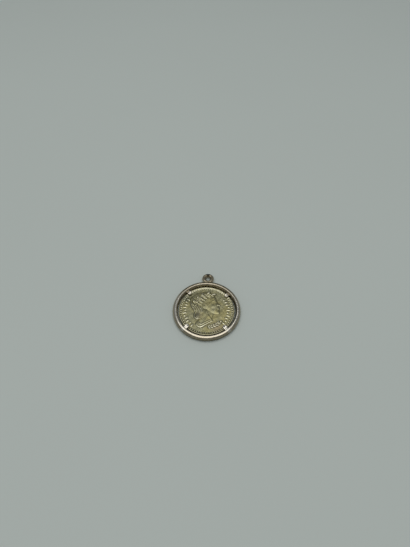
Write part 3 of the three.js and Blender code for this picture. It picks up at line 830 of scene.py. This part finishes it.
class Graph:
    """Short calls that add nodes to a node tree and link them."""

    def __init__(self, tree):
        self.tree = tree

    def node(self, kind, **settings):
        made = self.tree.nodes.new(kind)
        for key, value in settings.items():
            setattr(made, key, value)
        return made

    def put(self, socket, value):
        if hasattr(value, "is_output"):
            self.tree.links.new(value, socket)
        elif value is not None:
            socket.default_value = value

    def fill(self, made, parts):
        for name, part in parts.items():
            self.put(made.inputs[name], part)

    def math(self, operation, a, b=None, clamp=False):
        made = self.node("ShaderNodeMath", operation=operation, use_clamp=clamp)
        self.put(made.inputs[0], a)
        self.put(made.inputs[1], b)
        return made.outputs[0]

    def times(self, first, *others):
        for other in others:
            first = self.math("MULTIPLY", first, other)
        return first

    def distance(self, place, point):
        made = self.node("ShaderNodeVectorMath", operation="DISTANCE")
        self.put(made.inputs[0], place)
        self.put(made.inputs[1], point)
        return made.outputs["Value"]

    def range(self, value, low, high, to_low=0.0, to_high=1.0):
        made = self.node("ShaderNodeMapRange", interpolation_type="SMOOTHSTEP")
        limits = {"From Min": low, "From Max": high, "To Min": to_low, "To Max": to_high}
        self.fill(made, {"Value": value, **limits})
        return made.outputs["Result"]

    def mix(self, factor, a, b):
        made = self.node("ShaderNodeMix", data_type="RGBA")
        self.fill(made, {"Factor": factor, "A": a, "B": b})
        return made.outputs["Result"]

    def tint(self, colour, mask, tone, share):
        return self.mix(self.times(mask, share), colour, opaque(tone))

    def noise(self, vector, scale, detail=3.0, roughness=0.5, distortion=0.0):
        made = self.node("ShaderNodeTexNoise")
        shape = {"Detail": detail, "Roughness": roughness, "Distortion": distortion}
        self.fill(made, {"Vector": vector, "Scale": scale, **shape})
        return made.outputs["Fac"]


def millimetres(graph):
    """Object coordinates counted in millimetres from the coin's axis."""
    place = graph.node("ShaderNodeTexCoord").outputs["Object"]
    moved = graph.node("ShaderNodeVectorMath", operation="SUBTRACT")
    graph.put(moved.inputs[0], place)
    moved.inputs[1].default_value = (0, COIN_CENTRE_Y, 0)
    scaled = graph.node("ShaderNodeVectorMath", operation="SCALE")
    graph.put(scaled.inputs[0], moved.outputs[0])
    scaled.inputs["Scale"].default_value = 1 / MM
    return scaled.outputs[0]


def axis_measures(graph, place):
    """The places along x, y and z, and r, the distance from the coin's axis."""
    axes = graph.node("ShaderNodeSeparateXYZ")
    graph.put(axes.inputs[0], place)
    flat = graph.node("ShaderNodeVectorMath", operation="MULTIPLY")
    graph.put(flat.inputs[0], place)
    flat.inputs[1].default_value = (1, 1, 0)
    away = graph.node("ShaderNodeVectorMath", operation="LENGTH")
    graph.put(away.inputs[0], flat.outputs[0])
    measures = {name: axes.outputs[name.upper()] for name in "xyz"}
    measures["r"] = away.outputs["Value"]
    return measures


def opaque(colour):
    """A colour with its alpha."""
    return (*colour, 1)


def new_group(name, inputs, outputs):
    """A shader node group with named number sockets, its vector input first."""
    group = bpy.data.node_groups.new(name, "ShaderNodeTree")
    group.interface.new_socket("Vector", in_out="INPUT", socket_type="NodeSocketVector")
    for label, value in inputs.items():
        socket = group.interface.new_socket(label, in_out="INPUT", socket_type="NodeSocketFloat")
        socket.default_value = value
    for label in outputs:
        group.interface.new_socket(label, in_out="OUTPUT", socket_type="NodeSocketFloat")
    graph = Graph(group)
    return group, graph, graph.node("NodeGroupInput").outputs, graph.node("NodeGroupOutput").inputs


def handling_marks():
    """Hairline marks in two courses and small dings, as a height and a mask."""
    group, graph, given, out = new_group("handling_marks", {"Density": 0.5}, ["Height", "Mask"])
    marks = []
    for angle, squash in MARK_COURSES:
        turn = graph.node("ShaderNodeMapping")
        graph.put(turn.inputs["Vector"], given["Vector"])
        turn.inputs["Rotation"].default_value = (0, 0, angle)
        turn.inputs["Scale"].default_value = (squash * MARK_SCALE, MARK_SCALE, MARK_SCALE)
        line = graph.noise(turn.outputs[0], scale=1.6, detail=2.0, roughness=0.6)
        off_middle = graph.math("ABSOLUTE", graph.math("SUBTRACT", line, 0.5))
        marks.append(graph.range(off_middle, 0.0, 0.018, to_low=1.0, to_high=0.0))
    lines = graph.times(graph.math("MAXIMUM", *marks), given["Density"])
    ding = graph.range(graph.noise(given["Vector"], scale=2.3, detail=1.0), 0.66, 0.74)
    graph.put(out["Height"], graph.math("ADD", graph.times(lines, -0.5), graph.times(ding, -1.0)))
    graph.put(out["Mask"], lines)
    return group


def cloud_mask():
    """A soft uneven cloud between two levels of noise."""
    group, graph, given, out = new_group("cloud_mask", {"Scale": 0.3, "Low": 0.45, "High": 0.6}, ["Mask"])
    cloud = graph.noise(given["Vector"], given["Scale"], detail=5.0, roughness=0.62, distortion=0.4)
    graph.put(out["Mask"], graph.range(cloud, given["Low"], given["High"]))
    return group


def use_group(graph, name, vector, **values):
    """Places a shared group in a material."""
    made = graph.node("ShaderNodeGroup")
    made.node_tree = bpy.data.node_groups[name]
    graph.put(made.inputs["Vector"], vector)
    for label, value in values.items():
        made.inputs[label].default_value = value
    return made.outputs


def start_material(name):
    """An empty material with a Principled shader joined to its output."""
    material = bpy.data.materials.new(name)
    material.use_nodes = True
    material.node_tree.nodes.clear()
    graph = Graph(material.node_tree)
    shader = graph.node("ShaderNodeBsdfPrincipled")
    end = graph.node("ShaderNodeOutputMaterial")
    graph.put(end.inputs["Surface"], shader.outputs[0])
    return material, graph, shader.inputs


def bump(graph, height, distance, strength, under=None):
    """A bump of a height in millimetres."""
    made = graph.node("ShaderNodeBump")
    made.inputs["Strength"].default_value = strength
    made.inputs["Distance"].default_value = distance * MM
    graph.put(made.inputs["Height"], height)
    if under is not None:
        graph.put(made.inputs["Normal"], under)
    return made.outputs[0]


def patch(graph, place, middle, reach):
    """A soft round patch round a place on the coin, broken up by noise."""
    away = graph.distance(place, (*middle, PATCH_HEIGHT))
    ragged = graph.times(graph.noise(place, scale=0.9, detail=4.0, roughness=0.65), 0.9 * reach)
    return graph.range(graph.math("ADD", away, ragged), reach * 0.5, reach * 1.5, to_low=1.0, to_high=0.0)


def mask(graph, rows, measures, places):
    """The product of a mask's smooth steps."""
    steps = []
    for measure, place, low, high, first, last in rows:
        start = places[place]
        steps.append(graph.range(measures[measure], start + low, start + high, first, last))
    return graph.times(*steps)


def coin_material(finish):
    """Worn silver with a pale olive-gold tone, dark with tarnish in its recesses and bright on its worn
    high points, with a grey-green patch and two brown ones. Painted shade darkens its rim on the near
    side and a painted highlight brightens its rim on the far side."""
    material, graph, shader = start_material("coin_silver")
    place = millimetres(graph)
    measures = axis_measures(graph, place)
    measures["recess"] = graph.node("ShaderNodeAttribute", attribute_name="recess").outputs["Fac"]
    measures["wear"] = graph.noise(place, scale=1.1, detail=2.0)
    masks = {name: mask(graph, rows, measures, {"axis": 0}) for name, rows in COIN_MASKS.items()}
    green = patch(graph, place, finish.green_patch, GREEN_REACH)
    brown_hair = patch(graph, place, finish.brown_patch_hair, HAIR_BROWN_REACH)
    brown_low = patch(graph, place, finish.brown_patch_low, LOW_BROWN_REACH)
    brown = graph.math("MAXIMUM", brown_low, graph.times(brown_hair, 0.5))
    tone = use_group(graph, "cloud_mask", place, Scale=0.22, Low=0.35, High=0.65)["Mask"]
    colour = graph.mix(tone, opaque(finish.coin_colour), opaque(finish.coin_gold))
    colour = graph.tint(colour, green, finish.green_tarnish, share=0.92)
    colour = graph.tint(colour, brown, finish.brown_tarnish, share=0.4)
    colour = graph.tint(colour, masks["deep"], finish.dark_tarnish_and_shade, share=0.62)
    colour = graph.tint(colour, masks["high"], finish.coin_bright, share=0.78)
    # Painted highlight along the far side's rim.
    colour = graph.tint(colour, masks["far_rim_highlight"], finish.coin_bright, share=1.0)
    # Painted shade on the near side's rim.
    colour = graph.tint(colour, masks["near_rim_shade"], finish.dark_tarnish_and_shade, share=1.0)
    graph.put(shader["Base Color"], colour)
    shader["Metallic"].default_value = 1.0
    polish = 0.14
    rough = graph.range(masks["high"], 0.0, 1.0, finish.coin_roughness, finish.coin_roughness - polish)
    rough = graph.math("ADD", rough, graph.times(masks["deep"], polish))
    grain = graph.noise(place, scale=7.0, detail=4.0, roughness=0.6)
    graph.put(shader["Roughness"], graph.math("ADD", rough, graph.times(grain, 0.1), clamp=True))
    marks = use_group(graph, "handling_marks", place, Density=0.6)
    grained = bump(graph, grain, distance=0.012, strength=0.6)
    marked = bump(graph, marks["Height"], distance=0.01, strength=0.5, under=grained)
    graph.put(shader["Normal"], marked)
    return material


def claw_strips(graph, x, y):
    """Strips as wide as a claw along the four radii that the claws lie on."""
    half = bpy.context.scene.pendant_frame.claw_width / MM / 2
    strips = 0.0
    for degrees in CLAW_ANGLES:
        c, s = math.cos(math.radians(degrees)), math.sin(math.radians(degrees))
        across = graph.math("SUBTRACT", graph.times(x, s), graph.times(y, c))
        along = graph.math("ADD", graph.times(x, c), graph.times(y, s))
        off_middle = graph.math("ABSOLUTE", across)
        strip = graph.range(off_middle, half - 0.2, half + 0.1, to_low=1.0, to_high=0.0)
        strips = graph.math("MAXIMUM", strips, graph.times(strip, graph.range(along, 0.0, 1.0)))
    return strips


def frame_material(finish):
    """Silver that has gone brownish on its slopes and is worn bright along its crest and claws. Painted
    shade dims the crest at its near edge and on the far side and the claws on the far side, and darkens
    the band by the coin, low on its outer wall and on its far slope; a painted highlight lies on the near
    claws' roots. The hanging ring is darker, less so round its hole, and has a black spot at its end."""
    material, graph, shader = start_material("frame_silver")
    place = millimetres(graph)
    sizes = bpy.context.scene.pendant_frame
    outer = FRAME_HIGH.x / MM
    top = FRAME_HIGH.z / MM
    places = {"axis": 0, "outer": outer, "inner": outer - sizes.band_width / MM, "top": top}
    ring_y = (FRAME_HIGH.y - COIN_CENTRE_Y - sizes.ring_hole / 2 - sizes.ring_wire) / MM
    cloud = use_group(graph, "cloud_mask", place, Scale=0.5, Low=0.4, High=0.7)["Mask"]
    measures = axis_measures(graph, place)
    measures["cloud"] = cloud
    measures["ring_hole"] = graph.distance(place, (0, ring_y, top / 2))
    measures["ring_end"] = graph.distance(place, (0, ring_y + RING_END_REACH, RING_END_HEIGHT))
    masks = {name: mask(graph, rows, measures, places) for name, rows in FRAME_MASKS.items()}
    # Painted highlight on the near claws' roots.
    roots = graph.times(claw_strips(graph, measures["x"], measures["y"]), masks["claw_root_highlight"])
    claws = graph.math("MAXIMUM", masks["claws"], roots)
    # Worn crest and claws in silver, with their painted highlight and painted shade.
    worn_bright_and_highlight = graph.math("MAXIMUM", masks["crest"], claws)
    # Painted shade by the coin, kept off the claws.
    shade_by_coin = graph.times(masks["shade_by_coin"], graph.math("SUBTRACT", 1.0, claws))
    # Painted shade low on the outer wall and on the far slope.
    slopes = graph.times(graph.math("MAXIMUM", masks["low_wall_shade"], masks["far_slope_shade"]), masks["on_band"])
    dark = graph.math("MAXIMUM", graph.math("MAXIMUM", shade_by_coin, slopes), masks["hanging_ring"])
    colour = graph.mix(cloud, opaque(finish.silver_brown), opaque(finish.silver_warm))
    colour = graph.tint(colour, worn_bright_and_highlight, finish.silver, share=1.0)
    colour = graph.tint(colour, dark, finish.dark_tarnish_and_shade, share=0.9)
    colour = graph.tint(colour, masks["ring_end"], finish.ring_end_black, share=1.0)
    graph.put(shader["Base Color"], colour)
    shader["Metallic"].default_value = 1.0
    marks = use_group(graph, "handling_marks", place, Density=0.5)
    rough = graph.math("ADD", graph.times(cloud, 0.1), finish.silver_roughness)
    rough = graph.math("ADD", rough, graph.times(dark, 0.2))
    rough = graph.math("ADD", rough, graph.times(marks["Mask"], 0.12), clamp=True)
    graph.put(shader["Roughness"], rough)
    soft = bump(graph, graph.noise(place, scale=0.8, detail=2.0), distance=0.03, strength=0.5)
    marked = bump(graph, marks["Height"], distance=0.006, strength=0.5, under=soft)
    graph.put(shader["Normal"], marked)
    return material


def floor_material(finish):
    """A plain pale board, a touch uneven."""
    material, graph, shader = start_material("pale_floor")
    place = graph.node("ShaderNodeTexCoord").outputs["Object"]
    tone = graph.noise(place, scale=9.0)
    shaded = [part * 0.97 for part in finish.floor_colour]
    graph.put(shader["Base Color"], graph.mix(tone, opaque(finish.floor_colour), opaque(shaded)))
    shader["Roughness"].default_value = 0.7
    shader["Specular IOR Level"].default_value = 0.25
    return material


def length_setting(label, about, millimetres):
    """A length property with its default in millimetres."""
    return bpy.props.FloatProperty(name=label, description=about, default=millimetres * MM, unit="LENGTH")


def number_setting(label, about, value):
    """A plain number property."""
    return bpy.props.FloatProperty(name=label, description=about, default=value)


def angle_setting(label, about, degrees):
    """An angle property with its default in degrees."""
    value = math.radians(degrees)
    return bpy.props.FloatProperty(name=label, description=about, default=value, unit="ROTATION")


def colour_setting(label, about, value):
    """A colour property."""
    return bpy.props.FloatVectorProperty(name=label, description=about, default=value, subtype="COLOR")


def place_setting(label, value):
    """A place on the coin beside its axis, in millimetres."""
    return bpy.props.FloatVectorProperty(
        name=label, description="Place on the coin in mm", default=value, size=2)


class CoinSizes(bpy.types.PropertyGroup):
    """Sizes of the coin and its relief."""

    coin_thickness: length_setting("Thickness", "Thickness over both rims", 1.0)
    rim_width: length_setting("Rim width", "Width of the raised rim", 0.65)
    rim_slope: length_setting("Rim slope", "Width of the rim's worn inner slope", 0.46)
    edge_radius: length_setting("Edge radius", "Rounding of the outer edge", 0.28)
    rim_height: length_setting("Rim height", "Rim top above the field", 0.2)
    bead_count: bpy.props.IntProperty(name="Beads", description="Beads round the border", default=72)
    bead_diameter: length_setting("Bead diameter", "Diameter of a bead", 0.5)
    bead_gap: length_setting("Bead gap", "Field between the beads and the rim", 0.08)
    ray_length: length_setting("Ray length", "Length of the longest ray of the border", 1.8)
    ray_width: length_setting("Ray width", "Width of a ray", 0.56)
    ray_pitch: length_setting("Ray pitch", "Spacing of the rays", 1.25)
    ray_relief: length_setting("Ray relief", "Height of a ray above the field", 0.13)
    head_height: length_setting("Head height", "Chin to crown", 10.4)
    head_tilt: angle_setting("Head tilt", "How far the head leans back", 13)
    head_relief: length_setting("Head relief", "Highest leaf above the field", 0.38)
    ear_x: length_setting("Ear X", "Ear hole beside the coin's axis", -0.2)
    ear_y: length_setting("Ear Y", "Ear hole above the coin's axis", 1.9)
    ear_share: number_setting("Ear share", "Ear hole above the chin, a share of the head's height", 0.44)


class FrameSizes(bpy.types.PropertyGroup):
    """Sizes of the silver frame."""

    band_width: length_setting("Band width", "Radial width of the band", 1.92)
    band_crest: length_setting("Crest", "Flat along the top of the band", 0.12)
    shoulder_width: length_setting("Shoulder width", "Round shoulder over the inner wall", 0.7)
    shoulder_height: length_setting("Shoulder height", "Height of that shoulder", 1.3)
    band_corner: length_setting("Corner", "Rounding under the inner wall", 0.12)
    claw_width: length_setting("Claw width", "Width of a claw", 1.6)
    claw_grip: length_setting("Claw grip", "Reach of a claw over the coin", 1.5)
    claw_thickness: length_setting("Claw thickness", "Thickness of a claw", 0.5)
    claw_arch: length_setting("Claw arch", "Rise of a claw's middle over its ends", 0.25)
    coin_clearance: length_setting("Coin clearance", "Between the coin and a claw", 0.05)
    claw_dish: length_setting("Claw dish", "Depth of the punch mark in a claw", 0.07)
    tab_thickness: length_setting("Tab thickness", "Thickness of a back tab", 0.15)
    ring_wire: length_setting("Ring wire", "Thickness of the hanging ring's wire", 1.5)
    ring_hole: length_setting("Ring hole", "Width of the hanging ring's hole", 1.85)


class Finishes(bpy.types.PropertyGroup):
    """Colours and roughness of the metals and the floor."""

    coin_colour: colour_setting("Coin", "Toned silver of the field", (0.36, 0.348, 0.215))
    coin_gold: colour_setting("Coin gold", "Warmer cloud on the field", (0.392, 0.357, 0.175))
    # Coin bright also paints a highlight along the far side's rim.
    coin_bright: colour_setting("Coin bright", "Rubbed high points", (0.86, 0.83, 0.64))
    green_tarnish: colour_setting("Green tarnish", "Grey-green patch", (0.14, 0.155, 0.105))
    brown_tarnish: colour_setting("Brown tarnish", "Warm patches", (0.42, 0.29, 0.2))
    # Dark tarnish is real tarnish in the coin's recesses and also paints shade on its near rim and on the
    # frame by the coin, low on its outer wall and on its far slope; it darkens the hanging ring too.
    dark_tarnish_and_shade: colour_setting("Dark tarnish", "Tarnish in recesses", (0.1, 0.088, 0.042))
    ring_end_black: colour_setting("Black tarnish", "Spot on the hanging ring", (0.03, 0.026, 0.018))
    green_patch: place_setting("Green patch", (-8.3, 5.0))
    brown_patch_low: place_setting("Low brown patch", (4.2, -7.6))
    brown_patch_hair: place_setting("Hair brown patch", (-2.8, -2.2))
    coin_roughness: number_setting("Coin roughness", "Roughness of the field", 0.28)
    # Silver also paints a highlight on the near claws' roots.
    silver: colour_setting("Silver", "Rubbed silver", (0.83, 0.79, 0.695))
    silver_warm: colour_setting("Warm silver", "Lightly toned silver", (0.63, 0.56, 0.42))
    silver_brown: colour_setting("Brown silver", "Deeper toned silver", (0.51, 0.44, 0.32))
    silver_roughness: number_setting("Silver roughness", "Roughness of clean silver", 0.16)
    floor_colour: colour_setting("Floor", "Pale floor", (0.74, 0.81, 0.78))


class StageSizes(bpy.types.PropertyGroup):
    """Camera and lights."""

    camera_distance: length_setting("Distance", "Camera to pendant", 154)
    camera_elevation: angle_setting("Elevation", "Line of sight above the floor", 58.6)
    camera_azimuth: angle_setting("Azimuth", "Line of sight from the pendant's near side", 2)
    camera_lens: number_setting("Lens", "Focal length in mm on a 36 mm long side", 26.0)
    centre_column: number_setting("Column", "Image column of the frame's middle", 206.8)
    centre_row: number_setting("Row", "Image row of the frame's middle", 309.75)
    light_size: length_setting("Light size", "Side of the soft light", 900)
    light_power: number_setting("Light power", "Power of the soft light in watts", 3.2)
    light_place: bpy.props.FloatVectorProperty(
        name="Light place",
        description="Middle of the soft light",
        default=(-0.05, -0.03, 0.9),
        unit="LENGTH",
    )
    light_colour: colour_setting("Light colour", "Colour of the soft light", (1.0, 0.985, 0.95))
    room_colour: colour_setting("Room colour", "Colour of the room's light", (0.93, 0.98, 1.0))
    room_strength: number_setting("Room strength", "Strength of the room's light", 0.2)


class PENDANT_OT_coin(bpy.types.Operator):
    """Makes the struck coin."""

    bl_idname = "pendant.coin"
    bl_label = "Coin"

    def execute(self, context):
        sizes = context.scene.pendant_coin
        rings, recess = coin_rings(sizes)
        mesh = closed_mesh("struck_coin", rings)
        flip_outwards(mesh)
        values = np.concatenate([recess.ravel(), [0, 0]])
        mesh.attributes.new("recess", "FLOAT", "POINT").data.foreach_set("value", values)
        new_piece("struck_coin", mesh, coin_material(context.scene.pendant_finish), "coin")
        return {"FINISHED"}


class PENDANT_OT_frame(bpy.types.Operator):
    """Makes the silver frame with its claws, back tabs and hanging ring."""

    bl_idname = "pendant.frame"
    bl_label = "Frame"

    def execute(self, context):
        sizes = context.scene.pendant_frame
        parts = [closed_mesh("band", band_rings(sizes), wrap=True)]
        for degrees in CLAW_ANGLES:
            parts.append(closed_mesh("claw", claw_rings(sizes, degrees)))
            parts.append(closed_mesh("tab", tab_rings(sizes, degrees)))
        parts.append(closed_mesh("hanging_ring", ring_rings(sizes), wrap=True))
        parts.append(closed_mesh("solder", solder_rings()))
        for part in parts:
            flip_outwards(part)
        mesh = soldered("silver_frame", parts)
        new_piece("silver_frame", mesh, frame_material(context.scene.pendant_finish), "frame")
        return {"FINISHED"}


def flip_outwards(mesh):
    """Turns a closed mesh's faces round if its volume, the sum over faces of centre dot area
    vector over 3, comes out below 0."""
    count = len(mesh.polygons)
    centre, normal, area = np.zeros(count * 3), np.zeros(count * 3), np.zeros(count)
    mesh.polygons.foreach_get("center", centre)
    mesh.polygons.foreach_get("normal", normal)
    mesh.polygons.foreach_get("area", area)
    middle = centre.reshape(-1, 3) - centre.reshape(-1, 3).mean(0)
    if (np.einsum("ij,ij->i", middle, normal.reshape(-1, 3)) * area).sum() < 0:
        mesh.flip_normals()


class PENDANT_OT_stage(bpy.types.Operator):
    """Makes the floor, the lights and the camera."""

    bl_idname = "pendant.stage"
    bl_label = "Stage"

    def execute(self, context):
        scene = context.scene
        stage = scene.pendant_stage
        make_floor(scene)
        make_lights(scene, stage)
        make_camera(scene, stage)
        scene.view_settings.view_transform = "Standard"
        return {"FINISHED"}


def make_floor(scene):
    """A flat square board under the pendant, a grid of quads."""
    steps = np.linspace(-FLOOR_HALF, FLOOR_HALF, FLOOR_POINTS)
    x, y = np.meshgrid(steps, steps)
    points = np.stack([x.ravel(), y.ravel(), np.zeros(x.size)], axis=-1)
    index = np.arange(x.size).reshape(x.shape)
    corners = [index[:-1, :-1], index[:-1, 1:], index[1:, 1:], index[1:, :-1]]
    mesh = bpy.data.meshes.new("floor")
    mesh.from_pydata(points.tolist(), [], np.stack(corners, axis=-1).reshape(-1, 4).tolist())
    mesh.materials.append(floor_material(scene.pendant_finish))
    floor = bpy.data.objects.new("floor", mesh)
    scene.collection.objects.link(floor)


def make_lights(scene, stage):
    """One large soft light overhead and a dim room round it."""
    light = bpy.data.lights.new("overhead", "AREA")
    light.shape = "SQUARE"
    light.size = stage.light_size
    light.energy = stage.light_power
    light.color = stage.light_colour
    lamp = bpy.data.objects.new("overhead", light)
    lamp.location = stage.light_place
    lamp.rotation_euler = (-Vector(lamp.location)).to_track_quat("-Z", "Y").to_euler()
    scene.collection.objects.link(lamp)
    world = bpy.data.worlds.new("room")
    world.use_nodes = True
    background = world.node_tree.nodes["Background"].inputs
    background["Color"].default_value = opaque(stage.room_colour)
    background["Strength"].default_value = stage.room_strength
    scene.world = world


def make_camera(scene, stage):
    """A camera that looks down at the pendant, turned so that the frame's middle falls on its
    place in the image."""
    middle = Vector((0, COIN_CENTRE_Y, FRAME_HIGH.z * AIM_SHARE))
    e, a = stage.camera_elevation, stage.camera_azimuth
    back = Vector((math.sin(a) * math.cos(e), -math.cos(a) * math.cos(e), math.sin(e)))
    data = bpy.data.cameras.new("camera")
    data.lens = stage.camera_lens
    data.sensor_width = SENSOR_WIDTH
    data.clip_start = NEAR_CLIP
    data.clip_end = FAR_CLIP
    camera = bpy.data.objects.new("camera", data)
    focal = stage.camera_lens / SENSOR_WIDTH * IMAGE_HEIGHT
    right = Vector((math.cos(a), math.sin(a), 0))
    up = back.cross(right)
    pitch = math.atan2(stage.centre_row - IMAGE_HEIGHT / 2, focal)
    yaw = math.atan2(stage.centre_column - IMAGE_WIDTH / 2, focal)
    forward = (-back * math.cos(pitch) + up * math.sin(pitch)).normalized()
    forward = (forward * math.cos(yaw) - right * math.sin(yaw)).normalized()
    camera.location = middle + back * stage.camera_distance
    camera.rotation_mode = "QUATERNION"
    camera.rotation_quaternion = forward.to_track_quat("-Z", "Y")
    scene.collection.objects.link(camera)
    scene.camera = camera


class PENDANT_PT_panel(bpy.types.Panel):
    """Lists the makers and their settings."""

    bl_idname = "PENDANT_PT_panel"
    bl_label = "Coin pendant"
    bl_space_type = "VIEW_3D"
    bl_region_type = "UI"
    bl_category = "Pendant"

    def draw(self, context):
        scene = context.scene
        for label, group in (("coin", scene.pendant_coin), ("frame", scene.pendant_frame),
                             ("stage", scene.pendant_stage)):
            box = self.layout.box()
            box.operator("pendant." + label)
            for key in group.__annotations__:
                box.prop(group, key)
        box = self.layout.box()
        for key in scene.pendant_finish.__annotations__:
            box.prop(scene.pendant_finish, key)


CLASSES = (
    CoinSizes,
    FrameSizes,
    Finishes,
    StageSizes,
    PENDANT_OT_coin,
    PENDANT_OT_frame,
    PENDANT_OT_stage,
    PENDANT_PT_panel,
)


def register():
    for made in CLASSES:
        bpy.utils.register_class(made)
    bpy.types.Scene.pendant_coin = bpy.props.PointerProperty(type=CoinSizes)
    bpy.types.Scene.pendant_frame = bpy.props.PointerProperty(type=FrameSizes)
    bpy.types.Scene.pendant_finish = bpy.props.PointerProperty(type=Finishes)
    bpy.types.Scene.pendant_stage = bpy.props.PointerProperty(type=StageSizes)


def unregister():
    for key in ("pendant_stage", "pendant_finish", "pendant_frame", "pendant_coin"):
        delattr(bpy.types.Scene, key)
    for made in reversed(CLASSES):
        bpy.utils.unregister_class(made)


def main():
    register()
    handling_marks()
    cloud_mask()
    bpy.ops.pendant.coin()
    bpy.ops.pendant.frame()
    bpy.ops.pendant.stage()


if __name__ == "__main__":
    main()
